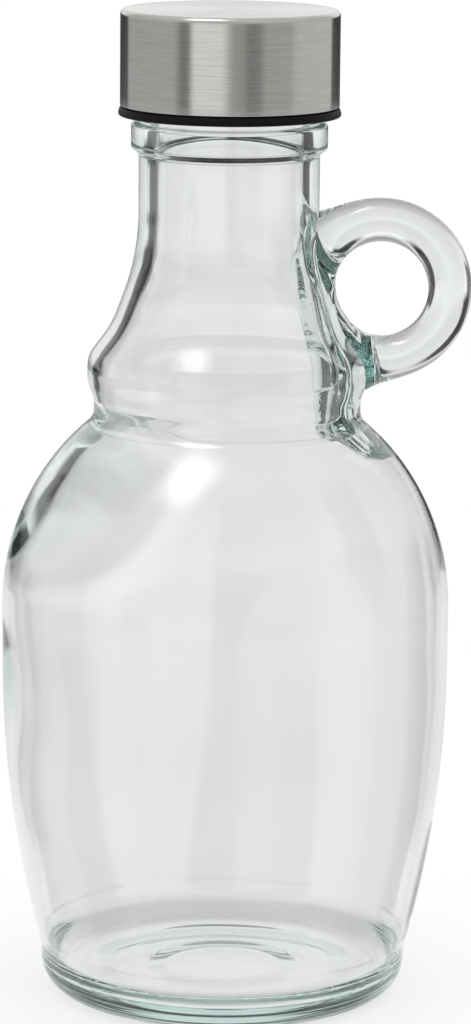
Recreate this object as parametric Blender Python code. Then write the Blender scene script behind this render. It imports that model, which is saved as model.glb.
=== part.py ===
"""Half-litre glass jug with a solid ring handle and a steel-clad screw cap.

Metres, +Z up. The jug stands on z = 0. The origin is the middle of the footprint, so the
jug's own axis lies a little to -X of it, because the ring handle reaches out to +X.

Pieces, one object each:
    glass_jug    the bottle with its neck finish, pushed-up base and ring handle, one glass solid
    cap_shell    the brushed steel cup over the top and side of the cap
    cap_insert   the black plastic cap inside it, whose lip shows under the steel
"""
import math

import bmesh
import bpy
from mathutils import Matrix, Vector

MM = 0.001

# Heights above the table
MOUTH_Z = 185.1 * MM
BEAD_TOP_Z = 166.65 * MM
BEAD_BOTTOM_Z = 161.5 * MM
NECK_TOP_Z = 160.25 * MM
NECK_FLARE_Z = 141.8 * MM
NECK_FOOT_Z = 128.6 * MM
RIDGE_TOP_Z = 121.85 * MM
RIDGE_BOTTOM_Z = 117.8 * MM
WAIST_TOP_Z = 114.8 * MM
WAIST_BOTTOM_Z = 110.7 * MM
SHOULDER_Z = 96.4 * MM
TAPER_Z = 37.0 * MM
FOOT_Z = 8.4 * MM

# Outside radii
FINISH_RADIUS = 17.05 * MM
BEAD_RADIUS = 18.35 * MM
NECK_RADIUS = 16.9 * MM
NECK_FOOT_RADIUS = 21.8 * MM
RIDGE_RADIUS = 26.35 * MM
WAIST_RADIUS = 25.1 * MM
BODY_RADIUS = 42.3 * MM
FOOT_RADIUS = 34.9 * MM
HEEL_RADIUS = 34.7 * MM
REST_INNER_RADIUS = 26.7 * MM
PUSH_UP_RADIUS = 23.8 * MM

# Blends: the radius of the arc in each corner of the outside
MOUTH_BLEND = 1.4 * MM
BEAD_EDGE_BLEND = 0.8 * MM
BEAD_NECK_BLEND = 1.0 * MM
NECK_FLARE_BLEND = 43.65 * MM
NECK_FOOT_BLEND = 9.7 * MM
RIDGE_BLEND = 4.85 * MM
WAIST_BLEND = 2.0 * MM
SHOULDER_BLEND = 45.0 * MM
TAPER_BLEND = 213.4 * MM
FOOT_BLEND = 5.8 * MM
HEEL_BLEND = 6.3 * MM
REST_BLEND = 0.8 * MM
PUSH_UP_BLEND = 2.9 * MM
PUSH_UP_STEP_BLEND = 1.5 * MM

# Wall and base
NECK_WALL = 2.3 * MM
NECK_FOOT_WALL = 2.0 * MM
COLLAR_WALL = 1.5 * MM
WAIST_WALL = 2.1 * MM
BODY_WALL = 1.1 * MM
BORE_DROP = 0.6 * MM
BORE_FOOT_INSET = 0.6 * MM
BORE_LIP_BLEND = 2.4 * MM
BORE_FLARE_BLEND = 46.55 * MM
BORE_NECK_FOOT_BLEND = 12.6 * MM
BORE_RIDGE_BLEND = 3.9 * MM
BORE_WAIST_BLEND = 2.4 * MM
BORE_FLOOR_BLEND = 2.9 * MM
FLOOR_CORNER_Z = 4.65 * MM
FLOOR_CENTRE_Z = 6.4 * MM
LIP_CHAMFER = 1.2 * MM
CUTTER_RISE = 1.5 * MM
PUSH_UP_EDGE_Z = 1.5 * MM
PUSH_UP_STEP_RADIUS = 14.55 * MM
PUSH_UP_STEP_Z = 2.1 * MM
PUSH_UP_STEP_WIDTH = 2.0 * MM
PUSH_UP_CENTRE_DROP = 0.2 * MM
PUSH_UP_CENTRE_Z = 3.1 * MM

# Bands where blowing left the wall thicker than BODY_WALL or NECK_WALL:
# height of the middle, half length, extra glass on the -X side, extra glass on the +X side
THICK_BANDS = [
    (160.05 * MM, 19.4 * MM, 0.7 * MM, 0.0),
    (98.95 * MM, 11.65 * MM, 2.6 * MM, 0.4 * MM),
    (50.45 * MM, 10.2 * MM, 2.0 * MM, 0.1 * MM),
]

# Ring handle, in the plane y = 0
RING_OFFSET = 28.6 * MM
RING_Z = 135.6 * MM
RING_RADIUS = 13.0 * MM
ROD_RADIUS = 4.05 * MM
ROOT_FLARE = 2.4 * MM

# Thick glass behind the handle: the bore is flat there instead of round
FLAT_TOP_Z = 142.6 * MM
FLAT_BOTTOM_Z = 107.2 * MM
FLAT_TOP_X = 11.85 * MM
FLAT_BOTTOM_X = 17.85 * MM
FLAT_FADE = 5.8 * MM
FLAT_BLEND = 1.0 * MM

# Cap
CAP_RADIUS = 20.45 * MM
CAP_TOP_Z = 187.6 * MM
CAP_EDGE_RADIUS = 1.0 * MM
SHELL_RIM_Z = 169.75 * MM
SHELL_WALL = 0.5 * MM
LIP_RADIUS = 20.75 * MM
CAP_LIP_Z = 167.9 * MM
LIP_HEIGHT = 0.7 * MM
LIP_BLEND = 0.3 * MM
INSERT_EDGE_BLEND = 0.8 * MM
INSERT_CEILING_BLEND = 0.4 * MM
GAP = 0.3 * MM

# Facets
TURNED_SIDES = 52
BORE_ROW = 6.8 * MM
CAP_SIDES = 48
RING_STEPS = 40
ROD_SIDES = 12
ARC_TOLERANCE = 0.1 * MM
MERGE_DISTANCE = 0.00001
SHARP_ANGLE = math.radians(35)

HANDLE_REACH = RING_OFFSET + RING_RADIUS + ROD_RADIUS
AXIS_X = (BODY_RADIUS - HANDLE_REACH) / 2


def rounded_outline(corners):
    """Radius and height points along straight lines whose corners are rounded.

    Each corner is (radius, height, blend), where blend is the radius of the arc in it.
    An arc has as few steps as keep its chords within ARC_TOLERANCE of it."""
    points = []
    last = len(corners) - 1
    for index, (radius, height, blend) in enumerate(corners):
        corner = Vector((radius, height))
        if blend == 0 or index in (0, last):
            points.append(corner)
            continue
        before = (Vector(corners[index - 1][:2]) - corner).normalized()
        after = (Vector(corners[index + 1][:2]) - corner).normalized()
        turn = math.pi - before.angle(after)
        centre = corner + (before + after).normalized() * blend / math.cos(turn / 2)
        start = corner + before * blend * math.tan(turn / 2) - centre
        finish = corner + after * blend * math.tan(turn / 2) - centre
        sense = 1 if start.x * finish.y - start.y * finish.x > 0 else -1
        widest = 2 * math.acos(1 - min(ARC_TOLERANCE / blend, 1))
        steps = max(1, round(turn / widest))
        for step in range(steps + 1):
            angle = sense * turn * step / steps
            points.append(centre + Matrix.Rotation(angle, 2) @ start)
    return points


def jug_outside():
    """Outline of the whole jug as if it were solid, from the mouth down to the base."""
    return [
        (0, MOUTH_Z, 0),
        (FINISH_RADIUS, MOUTH_Z, MOUTH_BLEND),
        (FINISH_RADIUS, BEAD_TOP_Z, 0),
        (BEAD_RADIUS, BEAD_TOP_Z, BEAD_EDGE_BLEND),
        (BEAD_RADIUS, BEAD_BOTTOM_Z, BEAD_NECK_BLEND),
        (NECK_RADIUS, NECK_TOP_Z, BEAD_NECK_BLEND),
        (NECK_RADIUS, NECK_FLARE_Z, NECK_FLARE_BLEND),
        (NECK_FOOT_RADIUS, NECK_FOOT_Z, NECK_FOOT_BLEND),
        (RIDGE_RADIUS, RIDGE_TOP_Z, RIDGE_BLEND),
        (RIDGE_RADIUS, RIDGE_BOTTOM_Z, WAIST_BLEND),
        (WAIST_RADIUS, WAIST_TOP_Z, WAIST_BLEND),
        (WAIST_RADIUS, WAIST_BOTTOM_Z, WAIST_BLEND),
        (BODY_RADIUS, SHOULDER_Z, SHOULDER_BLEND),
        (BODY_RADIUS, TAPER_Z, TAPER_BLEND),
        (FOOT_RADIUS, FOOT_Z, FOOT_BLEND),
        (HEEL_RADIUS, 0, HEEL_BLEND),
        (REST_INNER_RADIUS, 0, REST_BLEND),
        (PUSH_UP_RADIUS, PUSH_UP_EDGE_Z, PUSH_UP_BLEND),
        (PUSH_UP_STEP_RADIUS, PUSH_UP_STEP_Z, PUSH_UP_STEP_BLEND),
        (
            PUSH_UP_STEP_RADIUS - PUSH_UP_STEP_WIDTH,
            PUSH_UP_CENTRE_Z - PUSH_UP_CENTRE_DROP,
            PUSH_UP_STEP_BLEND,
        ),
        (0, PUSH_UP_CENTRE_Z, 0),
    ]


def jug_inside():
    """Outline of the bore, from above the mouth down to the floor."""
    bore = NECK_RADIUS - NECK_WALL
    collar = RIDGE_RADIUS - COLLAR_WALL
    waist = WAIST_RADIUS - WAIST_WALL
    body = BODY_RADIUS - BODY_WALL
    return [
        (0, MOUTH_Z + CUTTER_RISE, 0),
        (bore + LIP_CHAMFER + CUTTER_RISE, MOUTH_Z + CUTTER_RISE, 0),
        (bore, MOUTH_Z - LIP_CHAMFER, BORE_LIP_BLEND),
        (bore, NECK_FLARE_Z + BORE_DROP, BORE_FLARE_BLEND),
        (NECK_FOOT_RADIUS - NECK_FOOT_WALL, NECK_FOOT_Z - BORE_DROP, BORE_NECK_FOOT_BLEND),
        (collar, RIDGE_TOP_Z - BORE_DROP, BORE_RIDGE_BLEND),
        (collar, RIDGE_BOTTOM_Z + BORE_DROP, BORE_WAIST_BLEND),
        (waist, WAIST_TOP_Z, BORE_WAIST_BLEND),
        (waist, WAIST_BOTTOM_Z, BORE_WAIST_BLEND),
        (body, SHOULDER_Z, SHOULDER_BLEND - BODY_WALL),
        (body, TAPER_Z, TAPER_BLEND - BODY_WALL),
        (FOOT_RADIUS - BODY_WALL, FOOT_Z, FOOT_BLEND),
        (FOOT_RADIUS - BODY_WALL - BORE_FOOT_INSET, FLOOR_CORNER_Z, BORE_FLOOR_BLEND),
        (0, FLOOR_CENTRE_Z, 0),
    ]


def outside_radius(height):
    """Outside radius of the jug at a height, read from its outline."""
    line = rounded_outline(jug_outside())[1:]
    for upper, lower in zip(line, line[1:]):
        if lower.y <= height <= upper.y and upper.y > lower.y:
            share = (height - lower.y) / (upper.y - lower.y)
            return lower.x + (upper.x - lower.x) * share
    return 0.0


def fade(value, start, end):
    """Smooth step from 0 at start to 1 at end."""
    share = min(max((value - start) / (end - start), 0.0), 1.0)
    return share * share * (3 - 2 * share)


def new_object(name, mesh_builder, material):
    """An object whose mesh is a finished bmesh, shaded smooth except at sharp edges."""
    mesh = bpy.data.meshes.new(name)
    mesh_builder.to_mesh(mesh)
    mesh_builder.free()
    mesh.materials.append(material)
    mesh.shade_smooth()
    mesh.set_sharp_from_angle(angle=SHARP_ANGLE)
    item = bpy.data.objects.new(name, mesh)
    bpy.context.collection.objects.link(item)
    return item


def turned(outline, sides):
    """A closed bmesh turned about the jug's axis from radius and height points."""
    builder = bmesh.new()
    row = [builder.verts.new((AXIS_X + point.x, 0, point.y)) for point in outline]
    edges = [builder.edges.new(pair) for pair in zip(row, row[1:])]
    bmesh.ops.spin(
        builder,
        geom=row + edges,
        cent=(AXIS_X, 0, 0),
        axis=(0, 0, 1),
        angle=math.tau,
        steps=sides,
        use_merge=True,
    )
    bmesh.ops.remove_doubles(builder, verts=builder.verts[:], dist=MERGE_DISTANCE)
    bmesh.ops.recalc_face_normals(builder, faces=builder.faces[:])
    return builder


def with_rows(outline, longest):
    """The outline with its tall straight stretches divided, so that they can bend."""
    points = [outline[0]]
    for start, end in zip(outline, outline[1:]):
        rows = max(1, math.ceil(abs(end.y - start.y) / longest))
        points += [start.lerp(end, row / rows) for row in range(1, rows + 1)]
    return points


def extra_wall(height, side):
    """Extra glass at a height. side runs from -1 at the -X side to 1 at the +X side."""
    total = 0.0
    for middle, half_length, left, right in THICK_BANDS:
        share = math.exp(-(((height - middle) / half_length) ** 4))
        total += share * (left * (1 - side) + right * (1 + side)) / 2
    return total


def flat_bore_radius(radius, height, side):
    """Radius of the bore where the glass behind the handle draws it in."""
    if side <= 0 or not FLAT_BOTTOM_Z - FLAT_FADE < height < FLAT_TOP_Z + FLAT_FADE:
        return radius
    share = (height - FLAT_BOTTOM_Z) / (FLAT_TOP_Z - FLAT_BOTTOM_Z)
    chord = (FLAT_BOTTOM_X + (FLAT_TOP_X - FLAT_BOTTOM_X) * share) / side
    mixed = (radius + chord - math.hypot(radius - chord, FLAT_BLEND * 2)) / 2
    strength = fade(height, FLAT_BOTTOM_Z - FLAT_FADE, FLAT_BOTTOM_Z)
    strength *= 1 - fade(height, FLAT_TOP_Z, FLAT_TOP_Z + FLAT_FADE)
    return radius + (mixed - radius) * strength


def shape_bore(builder):
    """Move the bore's wall inwards wherever the glass is thicker."""
    for vertex in builder.verts:
        across = vertex.co.x - AXIS_X
        radius = math.hypot(across, vertex.co.y)
        if radius < MERGE_DISTANCE:
            continue
        side = across / radius
        thinner = radius - extra_wall(vertex.co.z, side)
        scale = flat_bore_radius(thinner, vertex.co.z, side) / radius
        vertex.co.x = AXIS_X + across * scale
        vertex.co.y *= scale


def handle_ring():
    """The solid glass ring, whose rod swells where it runs into the neck."""
    builder = bmesh.new()
    centre = Vector((AXIS_X + RING_OFFSET, 0, RING_Z))
    spokes = [math.tau * step / RING_STEPS for step in range(RING_STEPS)]
    loops = []
    for spoke in spokes:
        outward = Vector((math.cos(spoke), 0, math.sin(spoke)))
        loop = []
        for side in range(ROD_SIDES):
            around = math.tau * side / ROD_SIDES
            normal = outward * math.cos(around) + Vector((0, math.sin(around), 0))
            point = centre + outward * RING_RADIUS + normal * ROD_RADIUS
            off_axis = math.hypot(point.x - AXIS_X, point.y)
            clear = max(off_axis - outside_radius(point.z), 0.0)
            swell = ROOT_FLARE * math.exp(-clear / ROOT_FLARE)
            facing = abs(math.sin(around)) + max(math.cos(around), 0.0)
            loop.append(builder.verts.new(point + normal * swell * min(facing, 1.0)))
        loops.append(loop)
    for index, loop in enumerate(loops):
        following = loops[(index + 1) % RING_STEPS]
        for side in range(ROD_SIDES):
            near = (side + 1) % ROD_SIDES
            builder.faces.new((loop[side], loop[near], following[near], following[side]))
    bmesh.ops.recalc_face_normals(builder, faces=builder.faces[:])
    return builder


def combine(target, other, operation):
    """Apply an exact Boolean of two closed objects and remove the second one."""
    step = target.modifiers.new(operation.title(), "BOOLEAN")
    step.operation = operation
    step.solver = "EXACT"
    step.object = other
    depsgraph = bpy.context.evaluated_depsgraph_get()
    result = bpy.data.meshes.new_from_object(target.evaluated_get(depsgraph))
    target.modifiers.remove(step)
    target.data = result
    bpy.data.objects.remove(other)


def make_jug(material):
    """The jug: turned outside, joined ring, and the bore cut through both."""
    jug = new_object("glass_jug", turned(rounded_outline(jug_outside()), TURNED_SIDES), material)
    ring = new_object("handle_ring_guide", handle_ring(), material)
    combine(jug, ring, "UNION")
    hollow = turned(with_rows(rounded_outline(jug_inside()), BORE_ROW), TURNED_SIDES)
    shape_bore(hollow)
    bore = new_object("bore_guide", hollow, material)
    combine(jug, bore, "DIFFERENCE")
    jug.data.name = "glass_jug"
    jug.data.shade_smooth()
    jug.data.set_sharp_from_angle(angle=SHARP_ANGLE)
    return jug


def make_shell(material):
    """The steel cup: an outer skin with a rounded top edge, open below."""
    inner = CAP_RADIUS - SHELL_WALL
    ceiling = CAP_TOP_Z - SHELL_WALL
    outline = [
        (0, CAP_TOP_Z, 0),
        (CAP_RADIUS, CAP_TOP_Z, CAP_EDGE_RADIUS),
        (CAP_RADIUS, SHELL_RIM_Z, 0),
        (inner, SHELL_RIM_Z, 0),
        (inner, ceiling, CAP_EDGE_RADIUS - SHELL_WALL),
        (0, ceiling, 0),
    ]
    return new_object("cap_shell", turned(rounded_outline(outline), CAP_SIDES), material)


def make_insert(material):
    """The plastic cap under the steel, with the lip that shows below it."""
    outer = CAP_RADIUS - SHELL_WALL - GAP
    inner = FINISH_RADIUS + GAP
    top = CAP_TOP_Z - SHELL_WALL - GAP
    ceiling = MOUTH_Z + GAP
    outline = [
        (0, top, 0),
        (outer, top, INSERT_EDGE_BLEND),
        (outer, SHELL_RIM_Z - GAP, 0),
        (CAP_RADIUS, SHELL_RIM_Z - GAP, 0),
        (LIP_RADIUS, CAP_LIP_Z + LIP_HEIGHT, 0),
        (LIP_RADIUS, CAP_LIP_Z, LIP_BLEND),
        (inner, CAP_LIP_Z, LIP_BLEND),
        (inner, ceiling, INSERT_CEILING_BLEND),
        (0, ceiling, 0),
    ]
    return new_object("cap_insert", turned(rounded_outline(outline), CAP_SIDES), material)


def surface(name, color, metallic, roughness):
    """A material with a Principled shader, and the shader for further settings."""
    material = bpy.data.materials.new(name)
    material.use_nodes = True
    shader = material.node_tree.nodes["Principled BSDF"]
    shader.inputs["Base Color"].default_value = (*color, 1)
    shader.inputs["Metallic"].default_value = metallic
    shader.inputs["Roughness"].default_value = roughness
    return material, shader


def main():
    for item in list(bpy.data.objects):
        bpy.data.objects.remove(item)
    glass, shader = surface("glass", (0.93, 0.97, 0.95), 0.0, 0.02)
    shader.inputs["Transmission Weight"].default_value = 1.0
    shader.inputs["IOR"].default_value = 1.52
    steel, _ = surface("brushed_steel", (0.60, 0.59, 0.57), 1.0, 0.32)
    plastic, _ = surface("black_plastic", (0.012, 0.012, 0.013), 0.0, 0.38)
    make_jug(glass)
    make_shell(steel)
    make_insert(plastic)


main()
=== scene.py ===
"""The finished look of a half-litre glass jug with a solid ring handle and a steel-clad cap.

Metres, +Z up, the jug standing on z = 0 with its handle towards +X.

Pieces:
    jug_glass      the whole bottle, bead, base and ring handle, one body of clear green-tinted glass
    steel_cup      the brushed steel over the top and side of the cap
    black_insert   the black plastic inside it, whose lip shows under the steel
"""
import math

import bpy
from mathutils import Matrix, Vector, noise


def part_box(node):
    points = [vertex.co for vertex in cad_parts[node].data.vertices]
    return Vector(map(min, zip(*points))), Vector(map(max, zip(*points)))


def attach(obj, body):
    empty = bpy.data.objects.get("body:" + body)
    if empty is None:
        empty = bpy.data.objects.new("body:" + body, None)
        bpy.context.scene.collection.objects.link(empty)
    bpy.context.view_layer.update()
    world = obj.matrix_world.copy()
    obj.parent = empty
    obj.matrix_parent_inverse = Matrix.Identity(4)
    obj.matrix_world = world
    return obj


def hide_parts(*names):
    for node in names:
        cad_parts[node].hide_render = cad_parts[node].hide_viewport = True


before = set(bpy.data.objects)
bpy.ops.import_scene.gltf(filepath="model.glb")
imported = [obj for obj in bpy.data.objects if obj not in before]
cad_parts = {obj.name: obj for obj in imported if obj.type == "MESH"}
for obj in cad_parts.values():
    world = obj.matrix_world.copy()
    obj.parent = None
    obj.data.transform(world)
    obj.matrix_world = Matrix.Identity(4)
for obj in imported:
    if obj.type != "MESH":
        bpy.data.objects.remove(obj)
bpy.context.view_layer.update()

MM = 0.001

# Places read from the frame
JUG_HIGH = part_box("glass_jug")[1]
STEEL_LOW, STEEL_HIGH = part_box("cap_shell")
INSERT_LOW, INSERT_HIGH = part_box("cap_insert")
BODY_RADIUS = JUG_HIGH.y
AXIS_X = (STEEL_LOW.x + STEEL_HIGH.x) / 2
MOUTH_Z = JUG_HIGH.z
CAP_RADIUS = STEEL_HIGH.y
LIP_RADIUS = INSERT_HIGH.y

# Heights of the jug's outline
BEAD_TOP_Z = 166.65 * MM
BEAD_BOTTOM_Z = 161.9 * MM
NECK_TOP_Z = 160.9 * MM
NECK_FLARE_Z = 141.8 * MM
NECK_FOOT_Z = 128.3 * MM
RIDGE_TOP_Z = 122.3 * MM
RIDGE_BOTTOM_Z = 117.8 * MM
WAIST_TOP_Z = 114.8 * MM
WAIST_BOTTOM_Z = 110.7 * MM
SHOULDER_Z = 96.4 * MM
TAPER_Z = 37.0 * MM
FOOT_Z = 8.4 * MM

# Outside radii
FINISH_RADIUS = 17.05 * MM
BEAD_RADIUS = 18.35 * MM
NECK_RADIUS = 16.9 * MM
NECK_FOOT_RADIUS = 21.9 * MM
RIDGE_RADIUS = 26.35 * MM
WAIST_RADIUS = 25.1 * MM
FOOT_RADIUS = 34.9 * MM
HEEL_RADIUS = 34.7 * MM
REST_INNER_RADIUS = 26.7 * MM
PUSH_UP_RADIUS = 21.0 * MM

# Roundings of the outline, from the mouth down
LIP_BLEND = 1.4 * MM
BEAD_CREASE = 0.3 * MM
BEAD_BLEND = 0.8 * MM
NECK_TOP_BLEND = 1.4 * MM
NECK_FLARE_BLEND = 43.65 * MM
NECK_FOOT_BLEND = 20.0 * MM
RIDGE_TOP_BLEND = 4.85 * MM
WAIST_BLEND = 6.0 * MM
WAIST_FILLET = 3.8 * MM
SHOULDER_BLEND = 45.0 * MM
TAPER_BLEND = 213.4 * MM
FOOT_BLEND = 5.8 * MM
HEEL_BLEND = 6.3 * MM
PUSH_UP_BLEND = 12.0 * MM
PUSH_UP_STEP_BLEND = 8.0 * MM

# Roundings of the bore, from the mouth down
BORE_LIP_BLEND = 2.4 * MM
BORE_FLARE_BLEND = 46.55 * MM
BORE_COLLAR_BLEND = 7.0 * MM
BORE_FOOT_BLEND = 8.0 * MM
FLOOR_BLEND = 5.0 * MM

# Wall and base
NECK_WALL = 2.3 * MM
NECK_FOOT_WALL = 2.0 * MM
COLLAR_WALL = 1.5 * MM
WAIST_WALL = 2.1 * MM
BODY_WALL = 1.1 * MM
BORE_DROP = 0.6 * MM
COLLAR_MIDDLE_Z = 120.0 * MM
WAIST_MIDDLE_Z = 112.6 * MM
BORE_FOOT_Z = 11.0 * MM
BORE_FOOT_RADIUS = 34.4 * MM
BORE_FOOT_INSET = 1.2 * MM
FLOOR_CORNER_Z = 4.65 * MM
FLOOR_CENTRE_Z = 5.0 * MM
LIP_CHAMFER = 1.2 * MM
BORE_RISE = 1.5 * MM
PUSH_UP_EDGE_Z = 0.6 * MM
PUSH_UP_STEP_RADIUS = 14.55 * MM
PUSH_UP_STEP_Z = 0.85 * MM
PUSH_UP_STEP_WIDTH = 3.6 * MM
PUSH_UP_CENTRE_DROP = 0.2 * MM
PUSH_UP_CENTRE_Z = 1.5 * MM

# Uneven wall: height, extra glass on the -X side, extra glass on the +X side
UNEVEN_WALL = [
    (185.0 * MM, 1.0 * MM, 0.7 * MM),
    (149.0 * MM, 1.0 * MM, 0.7 * MM),
    (141.0 * MM, 1.2 * MM, 0.6 * MM),
    (133.0 * MM, 0.85 * MM, 0.3 * MM),
    (126.0 * MM, 0.65 * MM, 0.0),
    (120.0 * MM, 0.1 * MM, 0.0),
    (84.0 * MM, 0.0, 0.0),
    (73.0 * MM, -0.2 * MM, -0.2 * MM),
    (53.0 * MM, 0.5 * MM, -0.3 * MM),
    (33.0 * MM, -0.2 * MM, -0.4 * MM),
    (12.0 * MM, -0.2 * MM, -0.3 * MM),
    (5.0 * MM, 0.0, 0.0),
    (0.0, 0.0, 0.0),
]

# Thick -X shoulder: extra glass, and the heights and sides between which it comes in
SHOULDER_EXTRA = 4.7 * MM
SHOULDER_TOP_Z = 115.0 * MM
SHOULDER_FULL_Z = 104.0 * MM
SHOULDER_THINS_Z = 100.0 * MM
SHOULDER_END_Z = 79.0 * MM
SHOULDER_FRONT_SIDE = -0.1
SHOULDER_FULL_SIDE = -0.9

# Cap
STEEL_WALL = 0.5 * MM
STEEL_TOP_BLEND = 1.0 * MM
STEEL_RIM_BLEND = 0.12 * MM
CAP_GAP = 0.3 * MM
INSERT_TOP_BLEND = 0.8 * MM
INSERT_SHOULDER_BLEND = 0.1 * MM
INSERT_MOUTH_BLEND = 0.4 * MM
LIP_HEIGHT = 0.7 * MM
LIP_TOP_BLEND = 0.4 * MM
LIP_EDGE_BLEND = 0.3 * MM

# Ring handle, in the plane y = 0
RING_OFFSET = 28.6 * MM
RING_Z = 135.6 * MM
RING_RADIUS = 13.0 * MM
ROD_RADIUS = 4.05 * MM
ROOT_FLARE = 2.4 * MM

# Ridge of thick glass inside the bore behind the handle: height and distance of its crest
ROOT_CREST = [
    (146.0 * MM, 14.8 * MM),
    (141.3 * MM, 11.7 * MM),
    (133.0 * MM, 12.9 * MM),
    (111.0 * MM, 17.2 * MM),
    (107.8 * MM, 19.5 * MM),
    (106.4 * MM, 23.0 * MM),
    (105.0 * MM, 32.0 * MM),
]
ROOT_NARROW = 3.6 * MM
ROOT_WIDE = 9.0 * MM
ROOT_TWIST = 1.0 * MM
STREAK_DEPTH = 0.5 * MM
STREAK_WIDTH = 3.2 * MM
STREAK_LENGTH = 16.0 * MM
STREAK_START = 3.0 * MM

# Fineness of the meshes
JUG_SIDES = 192
CAP_SIDES = 192
ROW = 2.0 * MM
BORE_ROW = 1.2 * MM
ARC_STEP = 1.0 * MM
ARC_TURN = math.radians(9)
SMALL_ARC = ARC_STEP * 4
RING_SEGMENTS = 200
ROD_SEGMENTS = 48
MERGE = 0.01 * MM
NEAR_AXIS = 1.0 * MM
GLASS_SMOOTH_ANGLE = math.radians(40)
CAP_SMOOTH_ANGLE = math.radians(35)

# Uneven inner wall of blown glass
WAVE_SIZE = 14.0 * MM
WAVE_DEPTH = 0.05 * MM


# ---------------------------------------------------------------- modelling

def only(*pieces):
    """Select these pieces alone, the last one active."""
    bpy.ops.object.select_all(action="DESELECT")
    for piece in pieces:
        piece.select_set(True)
        bpy.context.view_layer.objects.active = piece


def first_point(name, radius, height):
    """A new piece in edit mode, with a single vertex selected."""
    bpy.ops.object.select_all(action="DESELECT")
    bpy.ops.mesh.primitive_plane_add(size=MM, location=(AXIS_X + radius, 0, height))
    bpy.ops.object.transform_apply(location=True, rotation=True, scale=True)
    piece = bpy.context.object
    piece.name = name
    bpy.ops.object.mode_set(mode="EDIT")
    bpy.ops.mesh.select_mode(type="VERT")
    bpy.ops.mesh.select_all(action="SELECT")
    bpy.ops.mesh.merge(type="CENTER")
    return piece


def draw_line(start, end, row):
    """Extrude the outline's last point along a straight line, in rows."""
    rows = max(1, math.ceil((end - start).length / row))
    step = (end - start) / rows
    for _ in range(rows):
        bpy.ops.mesh.extrude_region_move(TRANSFORM_OT_translate={"value": (step.x, 0, step.y)})


def draw_arc(centre, radius, turn):
    """Spin the outline's last point round the centre of an arc."""
    steps = max(2, math.ceil(abs(turn) * radius / ARC_STEP), math.ceil(abs(turn) / ARC_TURN))
    if radius < SMALL_ARC:
        steps = max(3, math.ceil(abs(turn) / ARC_TURN))
    bpy.ops.mesh.spin(
        steps=steps,
        angle=turn,
        center=(AXIS_X + centre.x, 0, centre.y),
        axis=(0, 1, 0),
        use_auto_merge=False,
    )


def turned(name, corners, sides, row=ROW):
    """A closed piece turned about the jug's axis from (radius, height, blend) corners.

    blend is the radius of the arc in a corner. The first and last corners are on the axis."""
    points = [Vector(corner[:2]) for corner in corners]
    piece = first_point(name, points[0].x, points[0].y)
    here = points[0]
    for index in range(1, len(corners) - 1):
        blend = corners[index][2]
        before = (points[index - 1] - points[index]).normalized()
        after = (points[index + 1] - points[index]).normalized()
        if blend == 0:
            draw_line(here, points[index], row)
            here = points[index]
            continue
        turn = math.pi - before.angle(after)
        reach = blend * math.tan(turn / 2)
        start = points[index] + before * reach
        centre = points[index] + (before + after).normalized() * blend / math.cos(turn / 2)
        sense = -1 if before.x * after.y - before.y * after.x > 0 else 1
        draw_line(here, start, row)
        draw_arc(centre, blend, sense * turn)
        here = points[index] + after * reach
    draw_line(here, points[-1], row)
    bpy.ops.mesh.select_all(action="SELECT")
    bpy.ops.mesh.spin(steps=sides, angle=math.tau, center=(AXIS_X, 0, 0), axis=(0, 0, 1))
    bpy.ops.mesh.select_all(action="SELECT")
    bpy.ops.mesh.remove_doubles(threshold=MERGE)
    bpy.ops.mesh.normals_make_consistent(inside=False)
    bpy.ops.object.mode_set(mode="OBJECT")
    return piece


def combined(target, other, operation):
    """Apply an exact Boolean of two closed pieces and remove the second one."""
    only(target)
    step = target.modifiers.new(operation.title(), "BOOLEAN")
    step.operation = operation
    step.solver = "EXACT"
    step.object = other
    bpy.ops.object.modifier_apply(modifier=step.name)
    bpy.data.objects.remove(other)


def finished(piece, angle, material):
    """Smooth shading below an angle, and one material for the whole piece."""
    only(piece)
    bpy.ops.object.shade_smooth_by_angle(angle=angle)
    piece.data.materials.clear()
    piece.data.materials.append(material)
    return piece


# ---------------------------------------------------------------- glass jug

def outside_corners():
    return [
        (0, MOUTH_Z, 0),
        (FINISH_RADIUS, MOUTH_Z, LIP_BLEND),
        (FINISH_RADIUS, BEAD_TOP_Z, BEAD_CREASE),
        (BEAD_RADIUS, BEAD_TOP_Z, BEAD_BLEND),
        (BEAD_RADIUS, BEAD_BOTTOM_Z, BEAD_BLEND),
        (NECK_RADIUS, NECK_TOP_Z, NECK_TOP_BLEND),
        (NECK_RADIUS, NECK_FLARE_Z, NECK_FLARE_BLEND),
        (NECK_FOOT_RADIUS, NECK_FOOT_Z, NECK_FOOT_BLEND),
        (RIDGE_RADIUS, RIDGE_TOP_Z, RIDGE_TOP_BLEND),
        (RIDGE_RADIUS, RIDGE_BOTTOM_Z, WAIST_BLEND),
        (WAIST_RADIUS, WAIST_TOP_Z, WAIST_BLEND),
        (WAIST_RADIUS, WAIST_BOTTOM_Z, WAIST_FILLET),
        (BODY_RADIUS, SHOULDER_Z, SHOULDER_BLEND),
        (BODY_RADIUS, TAPER_Z, TAPER_BLEND),
        (FOOT_RADIUS, FOOT_Z, FOOT_BLEND),
        (HEEL_RADIUS, 0, HEEL_BLEND),
        (REST_INNER_RADIUS, 0, PUSH_UP_BLEND),
        (PUSH_UP_RADIUS, PUSH_UP_EDGE_Z, PUSH_UP_BLEND),
        (PUSH_UP_STEP_RADIUS, PUSH_UP_STEP_Z, PUSH_UP_STEP_BLEND),
        (
            PUSH_UP_STEP_RADIUS - PUSH_UP_STEP_WIDTH,
            PUSH_UP_CENTRE_Z - PUSH_UP_CENTRE_DROP,
            PUSH_UP_STEP_BLEND,
        ),
        (0, PUSH_UP_CENTRE_Z, 0),
    ]


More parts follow.
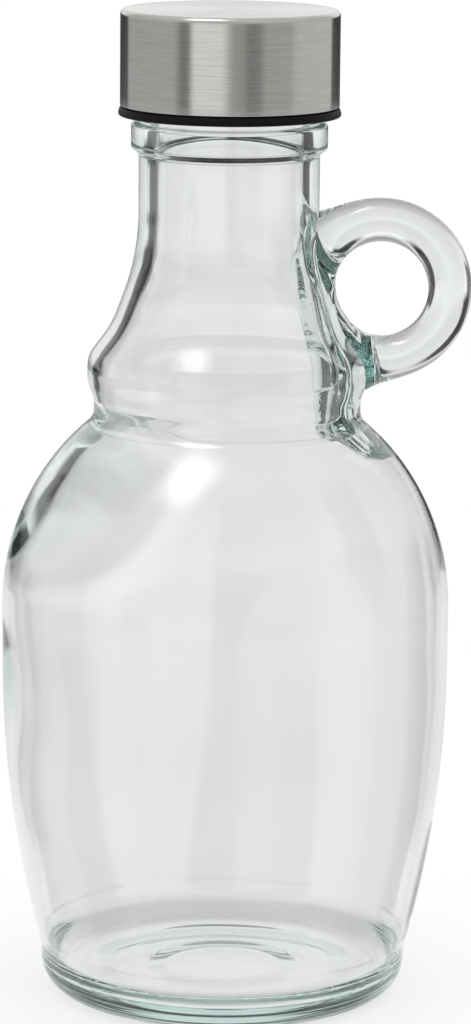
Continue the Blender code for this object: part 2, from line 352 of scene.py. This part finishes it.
def bore_corners():
    bore = NECK_RADIUS - NECK_WALL
    collar = RIDGE_RADIUS - COLLAR_WALL
    waist = WAIST_RADIUS - WAIST_WALL
    body = BODY_RADIUS - BODY_WALL
    return [
        (0, MOUTH_Z + BORE_RISE, 0),
        (bore + LIP_CHAMFER + BORE_RISE, MOUTH_Z + BORE_RISE, 0),
        (bore, MOUTH_Z - LIP_CHAMFER, BORE_LIP_BLEND),
        (bore, NECK_FLARE_Z + BORE_DROP, BORE_FLARE_BLEND),
        (NECK_FOOT_RADIUS - NECK_FOOT_WALL, NECK_FOOT_Z - BORE_DROP, NECK_FOOT_BLEND),
        (collar, COLLAR_MIDDLE_Z, BORE_COLLAR_BLEND),
        (waist, WAIST_MIDDLE_Z, WAIST_BLEND),
        (body, SHOULDER_Z, SHOULDER_BLEND - BODY_WALL),
        (body, TAPER_Z, TAPER_BLEND - BODY_WALL),
        (BORE_FOOT_RADIUS, BORE_FOOT_Z, BORE_FOOT_BLEND),
        (BORE_FOOT_RADIUS - BORE_FOOT_INSET, FLOOR_CORNER_Z, FLOOR_BLEND),
        (0, FLOOR_CENTRE_Z, 0),
    ]


def fade(value, start, end):
    """Smooth step from 0 at start to 1 at end."""
    share = min(max((value - start) / (end - start), 0.0), 1.0)
    return share * share * (3 - 2 * share)


def extra_wall(height, side):
    """Extra glass at a height. side runs from -1 at the -X side to 1 at the +X side."""
    for (upper, *first), (lower, *second) in zip(UNEVEN_WALL, UNEVEN_WALL[1:]):
        if lower <= height <= upper:
            share = fade(height, upper, lower)
            left, right = (a + (b - a) * share for a, b in zip(first, second))
            return (left * (1 - side) + right * (1 + side)) / 2
    return 0.0


def shoulder_wall(height, side):
    """Extra glass in the thick -X shoulder, which thins away downwards and to the front."""
    above = fade(height, SHOULDER_TOP_Z, SHOULDER_FULL_Z)
    below = fade(height, SHOULDER_END_Z, SHOULDER_THINS_Z)
    return SHOULDER_EXTRA * above * below * fade(side, SHOULDER_FRONT_SIDE, SHOULDER_FULL_SIDE)


def along(line, height):
    """Value at a height on a falling line of (height, value) points."""
    for (upper, first), (lower, second) in zip(line, line[1:]):
        if lower <= height <= upper:
            return first + (second - first) * (upper - height) / (upper - lower)
    return None


def root_radius(radius, co, across):
    """Radius of the bore where the ridge behind the handle draws it in, in long streaks."""
    crest = along(ROOT_CREST, co.z)
    if crest is None or across <= 0 or crest >= radius:
        return radius
    low, high = ROOT_CREST[3][0], ROOT_CREST[1][0]
    width = ROOT_WIDE + (ROOT_NARROW - ROOT_WIDE) * fade(co.z, low, high)
    share = math.exp(-(((co.y - ROOT_TWIST) / width) ** 2))
    spot = Vector((co.y / STREAK_WIDTH, co.z / STREAK_LENGTH, 0))
    streak = noise.noise(spot) * STREAK_DEPTH * fade(radius - crest, 0, STREAK_START)
    return radius + (crest - radius + streak) * share


def shape_bore(piece):
    """Move the bore's wall inwards where the glass is thicker, with slow waves all over."""
    for vertex in piece.data.vertices:
        across = vertex.co.x - AXIS_X
        radius = math.hypot(across, vertex.co.y)
        if radius < NEAR_AXIS:
            continue
        side = across / radius
        thinner = radius - shoulder_wall(vertex.co.z, side) - extra_wall(vertex.co.z, side)
        wave = noise.noise(vertex.co / WAVE_SIZE) * WAVE_DEPTH
        scale = (root_radius(thinner, vertex.co, across) + wave) / radius
        vertex.co.x = AXIS_X + across * scale
        vertex.co.y *= scale


def neck_radius(height):
    """Outside radius of the neck near the handle, from the straight runs of its outline."""
    runs = [
        (NECK_RADIUS, NECK_TOP_Z),
        (NECK_RADIUS, NECK_FLARE_Z),
        (NECK_FOOT_RADIUS, NECK_FOOT_Z),
        (RIDGE_RADIUS, RIDGE_TOP_Z),
        (RIDGE_RADIUS, RIDGE_BOTTOM_Z),
    ]
    for (upper_radius, upper), (lower_radius, lower) in zip(runs, runs[1:]):
        if lower <= height <= upper:
            return upper_radius + (lower_radius - upper_radius) * (upper - height) / (upper - lower)
    return NECK_RADIUS if height > NECK_TOP_Z else RIDGE_RADIUS


def make_ring():
    """The solid ring, whose rod swells into the neck in a hollow fillet."""
    bpy.ops.object.select_all(action="DESELECT")
    bpy.ops.mesh.primitive_torus_add(
        location=(AXIS_X + RING_OFFSET, 0, RING_Z),
        rotation=(math.pi / 2, 0, 0),
        major_radius=RING_RADIUS,
        minor_radius=ROD_RADIUS,
        major_segments=RING_SEGMENTS,
        minor_segments=ROD_SEGMENTS,
    )
    bpy.ops.object.transform_apply(location=True, rotation=True, scale=True)
    ring = bpy.context.object
    ring.name = "ring_blank"
    centre = Vector((AXIS_X + RING_OFFSET, 0, RING_Z))
    for vertex in ring.data.vertices:
        spoke = Vector((vertex.co.x - centre.x, 0, vertex.co.z - centre.z)).normalized()
        core = centre + spoke * RING_RADIUS
        normal = (vertex.co - core).normalized()
        off_axis = math.hypot(vertex.co.x - AXIS_X, vertex.co.y)
        clear = max(off_axis - neck_radius(vertex.co.z), 0.0)
        swell = ROOT_FLARE * math.exp(-clear / ROOT_FLARE)
        facing = min(abs(normal.y) + max(normal.dot(spoke), 0.0), 1.0)
        vertex.co += normal * swell * facing
    return ring


def make_jug(material):
    jug = turned("jug_glass", outside_corners(), JUG_SIDES)
    combined(jug, make_ring(), "UNION")
    bore = turned("bore_blank", bore_corners(), JUG_SIDES, BORE_ROW)
    shape_bore(bore)
    combined(jug, bore, "DIFFERENCE")
    return finished(jug, GLASS_SMOOTH_ANGLE, material)


# ---------------------------------------------------------------- cap

def make_steel_cup(material):
    inner = CAP_RADIUS - STEEL_WALL
    ceiling = STEEL_HIGH.z - STEEL_WALL
    cup = turned("steel_cup", [
        (0, STEEL_HIGH.z, 0),
        (CAP_RADIUS, STEEL_HIGH.z, STEEL_TOP_BLEND),
        (CAP_RADIUS, STEEL_LOW.z, STEEL_RIM_BLEND),
        (inner, STEEL_LOW.z, STEEL_RIM_BLEND),
        (inner, ceiling, STEEL_TOP_BLEND - STEEL_WALL),
        (0, ceiling, 0),
    ], CAP_SIDES)
    return finished(cup, CAP_SMOOTH_ANGLE, material)


def make_insert(material):
    outer = CAP_RADIUS - STEEL_WALL - CAP_GAP
    inner = FINISH_RADIUS + CAP_GAP
    lip_top = STEEL_LOW.z - CAP_GAP
    insert = turned("black_insert", [
        (0, INSERT_HIGH.z, 0),
        (outer, INSERT_HIGH.z, INSERT_TOP_BLEND),
        (outer, lip_top, 0),
        (CAP_RADIUS, lip_top, INSERT_SHOULDER_BLEND),
        (LIP_RADIUS, INSERT_LOW.z + LIP_HEIGHT, LIP_TOP_BLEND),
        (LIP_RADIUS, INSERT_LOW.z, LIP_EDGE_BLEND),
        (inner, INSERT_LOW.z, LIP_EDGE_BLEND),
        (inner, MOUTH_Z + CAP_GAP, INSERT_MOUTH_BLEND),
        (0, MOUTH_Z + CAP_GAP, 0),
    ], CAP_SIDES)
    return finished(insert, CAP_SMOOTH_ANGLE, material)


# ---------------------------------------------------------------- finishes

GLASS_IOR = 1.52
GLASS_TINT = (0.34, 0.70, 0.63, 1.0)
GLASS_TINT_PER_METRE = 10.0
STEEL_ROUGHNESS = 0.17
STEEL_BRUSHING = 0.6
STEEL_BRUSHED_ROUND = 0.25
STEEL_DARK = (0.50, 0.49, 0.47)
STEEL_LIGHT = (0.74, 0.73, 0.70)
BRUSH_LINES = (140.0, 140.0, 3600.0)
BRUSH_DEPTH = 0.02 * MM
PLASTIC_DARK = (0.002, 0.002, 0.0025)
PLASTIC_LIGHT = (0.006, 0.006, 0.007)
PLASTIC_SHINE = 0.12
PLASTIC_GRAIN = 1500.0
PLASTIC_ROUGHNESS = (0.38, 0.55)
PLASTIC_GRAIN_DEPTH = 0.01 * MM


def new_material(name):
    material = bpy.data.materials.new(name)
    material.use_nodes = True
    return material, material.node_tree, material.node_tree.nodes["Principled BSDF"]


def mixed(tree, share, first, second):
    """Mix of two colours or greys, each a socket or a fixed value."""
    node = tree.nodes.new("ShaderNodeMix")
    node.data_type = "RGBA"
    for socket, value in ((0, share), (6, first), (7, second)):
        if isinstance(value, float):
            node.inputs[socket].default_value = value if socket == 0 else (value, value, value, 1)
        elif isinstance(value, tuple):
            node.inputs[socket].default_value = (*value, 1)
        else:
            tree.links.new(value, node.inputs[socket])
    return node.outputs[2]


def mixed_add(tree, first, second):
    """Sum of two colours that may pass 1."""
    node = tree.nodes.new("ShaderNodeMix")
    node.data_type = "RGBA"
    node.blend_type = "ADD"
    node.clamp_result = False
    node.inputs[0].default_value = 1.0
    tree.links.new(first, node.inputs[6])
    tree.links.new(second, node.inputs[7])
    return node.outputs[2]


def add_bump(tree, shader, height, strength, distance):
    bump = tree.nodes.new("ShaderNodeBump")
    bump.inputs["Strength"].default_value = strength
    bump.inputs["Distance"].default_value = distance
    tree.links.new(height, bump.inputs["Height"])
    tree.links.new(bump.outputs["Normal"], shader.inputs["Normal"])


def glass_finish():
    material, tree, shader = new_material("clear_green_glass")
    shader.inputs["Base Color"].default_value = (1.0, 1.0, 1.0, 1.0)
    shader.inputs["Roughness"].default_value = 0.0
    shader.inputs["IOR"].default_value = GLASS_IOR
    shader.inputs["Transmission Weight"].default_value = 1.0
    tint = tree.nodes.new("ShaderNodeVolumeAbsorption")
    tint.inputs["Color"].default_value = GLASS_TINT
    tint.inputs["Density"].default_value = GLASS_TINT_PER_METRE
    tree.links.new(tint.outputs["Volume"], tree.nodes["Material Output"].inputs["Volume"])
    return material


def steel_finish():
    material, tree, shader = new_material("brushed_steel")
    shader.inputs["Metallic"].default_value = 1.0
    shader.inputs["Roughness"].default_value = STEEL_ROUGHNESS
    shader.inputs["Anisotropic"].default_value = STEEL_BRUSHING
    tangent = tree.nodes.new("ShaderNodeTangent")
    tangent.direction_type = "RADIAL"
    tangent.axis = "Z"
    shader.inputs["Anisotropic Rotation"].default_value = STEEL_BRUSHED_ROUND
    tree.links.new(tangent.outputs["Tangent"], shader.inputs["Tangent"])
    place = tree.nodes.new("ShaderNodeTexCoord")
    lines = tree.nodes.new("ShaderNodeMapping")
    lines.inputs["Scale"].default_value = BRUSH_LINES
    grain = tree.nodes.new("ShaderNodeTexNoise")
    grain.inputs["Scale"].default_value = 1.0
    grain.inputs["Detail"].default_value = 5.0
    tree.links.new(place.outputs["Object"], lines.inputs["Vector"])
    tree.links.new(lines.outputs["Vector"], grain.inputs["Vector"])
    tone = mixed(tree, grain.outputs["Fac"], STEEL_DARK, STEEL_LIGHT)
    tree.links.new(tone, shader.inputs["Base Color"])
    add_bump(tree, shader, grain.outputs["Fac"], 0.5, BRUSH_DEPTH)
    return material


def plastic_finish():
    material, tree, shader = new_material("black_plastic")
    shader.inputs["Specular IOR Level"].default_value = PLASTIC_SHINE
    place = tree.nodes.new("ShaderNodeTexCoord")
    grain = tree.nodes.new("ShaderNodeTexNoise")
    grain.inputs["Scale"].default_value = PLASTIC_GRAIN
    grain.inputs["Detail"].default_value = 3.0
    tree.links.new(place.outputs["Object"], grain.inputs["Vector"])
    tone = mixed(tree, grain.outputs["Fac"], PLASTIC_DARK, PLASTIC_LIGHT)
    tree.links.new(tone, shader.inputs["Base Color"])
    rough = tree.nodes.new("ShaderNodeMapRange")
    rough.inputs["To Min"].default_value = PLASTIC_ROUGHNESS[0]
    rough.inputs["To Max"].default_value = PLASTIC_ROUGHNESS[1]
    tree.links.new(grain.outputs["Fac"], rough.inputs["Value"])
    tree.links.new(rough.outputs["Result"], shader.inputs["Roughness"])
    add_bump(tree, shader, grain.outputs["Fac"], 0.3, PLASTIC_GRAIN_DEPTH)
    return material


# ---------------------------------------------------------------- studio

# Reflections. Panels and flags stand round the table: (degrees from the front, brightness) and
# (degrees above the level, share). Behind them are the room and its ceiling.
PANELS = [
    (-180, 0.25), (-159, 0.03), (-135, 0.03), (-133, 0.48), (-60, 0.48), (-52, 0.10), (-44, 0.10),
    (-38, 1.1), (-8, 1.05), (-2, 0.65), (3, 0.35), (14, 0.3), (19, 0.12), (30, 0.14), (38, 0.42),
    (66, 0.45), (74, 0.66), (131, 0.66), (134, 0.03), (159, 0.03), (180, 0.25),
]
PANEL_HEIGHTS = [
    (-26, 0.0), (-20, 0.25), (-12, 0.25), (-8, 0.5), (-6.6, 1.0), (-2, 1.0), (4, 0.0),
]
ROOM = [(-180, 0.95), (-150, 0.95), (-130, 0.6), (130, 0.6), (150, 0.95), (180, 0.95)]
CEILING = 0.7
CEILING_HEIGHTS = [(20, 0.0), (45, 1.0)]

# Plain light for surfaces that are not shiny
DIFFUSE_LIGHT = 0.95

# A long softbox overhead, bright where the view is square to both of these axes
SOFTBOX = 8.0
SOFTBOX_ACROSS = (0.669, -0.743, 0.0)
SOFTBOX_ALONG = (0.684, 0.616, 0.391)
SOFTBOX_WIDTH = [(0.03, 1.0), (0.27, 0.0)]
SOFTBOX_LENGTH = [(0.06, 1.0), (0.34, 0.0)]
SOFTBOX_HEIGHTS = [(18, 0.0), (27, 1.0)]

# What shows through the glass: (degrees above the level, brightness) and (degrees from the
# front, brightness)
BACKDROP_HEIGHTS = [
    (-60, 0.45), (-42, 0.55), (-30, 0.88), (-22, 0.91), (-16, 0.94), (-9.5, 1.035), (-5, 1.055),
    (2, 1.07), (7, 1.13), (16, 1.13), (26, 0.88), (38, 0.3),
]
BACKDROP_WALLS = [
    (-62, 1.0), (-42, 0.4), (-10, 0.4), (14, 1.0), (70, 1.0), (88, 0.25), (122, 0.25), (130, 1.0),
]

# Dark arcs in the backdrop draw the edges of the glass. Each flag: azimuth and elevation of the
# arcs' centre, their lowest and highest elevation, and whether there is one on both sides
FLAGS = [
    (180, -20, -24, 27, True),
    (270, -10, -8, 20, True),
    (45, -20, -40, 20, True),
    (225, -25, -45, -12, False),
]
FLAG_ARC = [(36.5, 1.0), (40, 0.04), (58, 0.04), (64, 0.85)]
FLAG_FADE = 4
FIRST_SIDE = [(0.15, 0.0), (0.33, 1.0)]
OTHER_SIDE = [(0.22, 0.0), (0.42, 1.0)]

# Rods and rims, which light enters and leaves once, see a little less of the first arcs
SOLID_CROSSINGS = 2.5
SOLID_EASING = [(3, 0.15), (7, 0.0)]

TABLE_RADIUS = 0.2
TABLE_SIDES = 96
TABLE_FADE_START = 0.07
TABLE_FADE_END = 0.19
TABLE_GREY = 0.35
TABLE_GLOW = 0.70

CAMERA_LENS = 158.8
CAMERA_FROM_AXIS = (0.00176, -0.8387, 0.25825)
CAMERA_DOWN = 11.17
CAMERA_ROLL = 0.533
LIGHT_BOUNCES = 36


def math_node(tree, operation, *values):
    node = tree.nodes.new("ShaderNodeMath")
    node.operation = operation
    for socket, value in zip(node.inputs, values):
        if isinstance(value, (int, float)):
            socket.default_value = value
        else:
            tree.links.new(value, socket)
    return node.outputs[0]


def dotted(tree, direction, axis):
    """Dot product of the view direction and a fixed axis."""
    node = tree.nodes.new("ShaderNodeVectorMath")
    node.operation = "DOT_PRODUCT"
    tree.links.new(direction, node.inputs[0])
    node.inputs[1].default_value = axis
    return node.outputs["Value"]


def ramp(tree, value, stops, interpolation="LINEAR"):
    """A grey ColorRamp. Stops are (position, brightness)."""
    node = tree.nodes.new("ShaderNodeValToRGB")
    node.color_ramp.interpolation = interpolation
    elements = node.color_ramp.elements
    while len(elements) < len(stops):
        elements.new(0.5)
    for element, (position, brightness) in zip(elements, stops):
        element.position = position
        element.color = (brightness, brightness, brightness, 1)
    tree.links.new(value, node.inputs["Fac"])
    return node.outputs["Color"]


def around(stops):
    """Ramp stops given as (degrees from the front, brightness)."""
    return [((degrees + 180) / 360, brightness) for degrees, brightness in stops]


def upward(stops):
    """Ramp stops given as (degrees above the level, brightness)."""
    return [((degrees + 90) / 180, brightness) for degrees, brightness in stops]


def apart(stops):
    """Ramp stops given as (degrees from a direction, brightness)."""
    return [(degrees / 180, brightness) for degrees, brightness in stops]


def side_flags(tree, direction, azimuth, elevation, both, hollow):
    """Brightness of dark arcs in the sky beside a direction in degrees.

    hollow is the share of the first arc. The second one is there where both is set."""
    turn, rise = math.radians(azimuth), math.radians(elevation)
    centre = (
        math.sin(turn) * math.cos(rise),
        -math.cos(turn) * math.cos(rise),
        math.sin(rise),
    )
    off = math_node(tree, "ARCCOSINE", dotted(tree, direction, centre))
    arc = ramp(tree, math_node(tree, "MULTIPLY", off, 1 / math.pi), apart(FLAG_ARC))
    across = dotted(tree, direction, (math.cos(turn), math.sin(turn), 0))
    beside = math_node(tree, "MULTIPLY", hollow, ramp(tree, across, FIRST_SIDE))
    if both:
        back = math_node(tree, "MULTIPLY", across, -1.0)
        beside = math_node(tree, "MAXIMUM", beside, ramp(tree, back, OTHER_SIDE))
    return mixed(tree, beside, 1.0, arc)


def reflections(tree, direction, turn, rise):
    """What shiny surfaces show: panels round the table, the room, its ceiling and the softbox."""
    across = math_node(tree, "ABSOLUTE", dotted(tree, direction, SOFTBOX_ACROSS))
    lengthwise = math_node(tree, "ABSOLUTE", dotted(tree, direction, SOFTBOX_ALONG))
    softbox = math_node(
        tree, "MULTIPLY",
        ramp(tree, across, SOFTBOX_WIDTH, "EASE"),
        ramp(tree, lengthwise, SOFTBOX_LENGTH, "EASE"),
    )
    softbox = math_node(tree, "MULTIPLY", softbox, SOFTBOX)
    softbox = math_node(tree, "MULTIPLY", softbox, ramp(tree, rise, upward(SOFTBOX_HEIGHTS)))
    overhead = ramp(tree, rise, upward(CEILING_HEIGHTS))
    room = mixed(tree, overhead, ramp(tree, turn, around(ROOM)), CEILING)
    share = ramp(tree, rise, upward(PANEL_HEIGHTS))
    room = mixed(tree, share, room, ramp(tree, turn, around(PANELS)))
    return mixed_add(tree, room, softbox)


def backdrop(tree, direction, turn, rise, crossings):
    """What shows through the glass: white all round, with dark flags that draw its edges."""
    white = math_node(
        tree, "MULTIPLY",
        ramp(tree, turn, around(BACKDROP_WALLS)),
        ramp(tree, rise, upward(BACKDROP_HEIGHTS)),
    )
    solid = math_node(tree, "LESS_THAN", crossings, SOLID_CROSSINGS)
    easing = math_node(tree, "MULTIPLY", solid, ramp(tree, rise, upward(SOLID_EASING)))
    hollow = math_node(tree, "SUBTRACT", 1.0, easing)
    for azimuth, elevation, lowest, highest, both in FLAGS:
        flag = side_flags(tree, direction, azimuth, elevation, both, hollow)
        zone = ramp(tree, rise, upward([
            (lowest, 0.0), (lowest + FLAG_FADE, 1.0), (highest - FLAG_FADE, 1.0), (highest, 0.0),
        ]))
        white = math_node(tree, "MULTIPLY", mixed(tree, zone, 1.0, flag), white)
    return white


def make_world():
    world = bpy.data.worlds.new("studio")
    world.use_nodes = True
    world.cycles.sampling_method = "NONE"
    bpy.context.scene.world = world
    tree = world.node_tree
    direction = tree.nodes.new("ShaderNodeTexCoord").outputs["Generated"]
    split = tree.nodes.new("ShaderNodeSeparateXYZ")
    tree.links.new(direction, split.inputs[0])
    toward = math_node(tree, "MULTIPLY", split.outputs["Y"], -1.0)
    azimuth = math_node(tree, "ARCTAN2", split.outputs["X"], toward)
    turn = math_node(tree, "MULTIPLY_ADD", azimuth, 1 / math.tau, 0.5)
    elevation = math_node(tree, "ARCSINE", split.outputs["Z"])
    rise = math_node(tree, "MULTIPLY_ADD", elevation, 1 / math.pi, 0.5)
    rays = tree.nodes.new("ShaderNodeLightPath").outputs
    glossy = reflections(tree, direction, turn, rise)
    through = backdrop(tree, direction, turn, rise, rays["Transmission Depth"])
    light = mixed(tree, rays["Is Glossy Ray"], DIFFUSE_LIGHT, glossy)
    light = mixed(tree, rays["Is Transmission Ray"], light, through)
    light = mixed(tree, rays["Is Camera Ray"], light, 1.0)
    background = tree.nodes["Background"]
    tree.links.new(light, background.inputs["Color"])
    background.inputs["Strength"].default_value = 1.0


def make_floor():
    """A pale round table top that fades into the white round it."""
    bpy.ops.object.select_all(action="DESELECT")
    bpy.ops.mesh.primitive_circle_add(
        vertices=TABLE_SIDES, radius=TABLE_RADIUS, fill_type="NGON", location=(0, 0, 0),
    )
    floor = bpy.context.object
    floor.name = "table_top"
    material, tree, shader = new_material("pale_table")
    shader.inputs["Base Color"].default_value = (TABLE_GREY, TABLE_GREY, TABLE_GREY, 1.0)
    shader.inputs["Roughness"].default_value = 0.9
    shader.inputs["Specular IOR Level"].default_value = 0.0
    shader.inputs["Emission Color"].default_value = (1.0, 1.0, 1.0, 1.0)
    shader.inputs["Emission Strength"].default_value = TABLE_GLOW
    place = tree.nodes.new("ShaderNodeTexCoord")
    length = tree.nodes.new("ShaderNodeVectorMath")
    length.operation = "LENGTH"
    tree.links.new(place.outputs["Object"], length.inputs[0])
    fade_out = tree.nodes.new("ShaderNodeMapRange")
    fade_out.interpolation_type = "SMOOTHSTEP"
    fade_out.inputs["From Min"].default_value = TABLE_FADE_START
    fade_out.inputs["From Max"].default_value = TABLE_FADE_END
    fade_out.inputs["To Min"].default_value = 1.0
    fade_out.inputs["To Max"].default_value = 0.0
    tree.links.new(length.outputs["Value"], fade_out.inputs["Value"])
    tree.links.new(fade_out.outputs["Result"], shader.inputs["Alpha"])
    floor.data.materials.append(material)
    floor.visible_transmission = False


def make_camera():
    scene = bpy.context.scene
    camera = bpy.data.cameras.new("camera")
    camera.lens = CAMERA_LENS
    camera.sensor_width = 36
    camera.clip_start = 0.01
    holder = bpy.data.objects.new("camera", camera)
    scene.collection.objects.link(holder)
    place = Matrix.Translation(Vector(CAMERA_FROM_AXIS) + Vector((AXIS_X, 0, 0)))
    tilt = Matrix.Rotation(math.radians(90 - CAMERA_DOWN), 4, "X")
    roll = Matrix.Rotation(math.radians(CAMERA_ROLL), 4, "Z")
    holder.matrix_world = place @ tilt @ roll
    scene.camera = holder
    scene.view_settings.view_transform = "Standard"
    scene.cycles.max_bounces = LIGHT_BOUNCES
    scene.cycles.transmission_bounces = LIGHT_BOUNCES
    scene.cycles.glossy_bounces = LIGHT_BOUNCES


def main():
    jug = make_jug(glass_finish())
    cup = make_steel_cup(steel_finish())
    insert = make_insert(plastic_finish())
    for piece, node, slot in (
        (jug, "glass_jug", "glass"),
        (cup, "cap_shell", "steel"),
        (insert, "cap_insert", "plastic"),
    ):
        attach(piece, "root")
        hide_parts(node)
    make_floor()
    make_world()
    make_camera()


main()
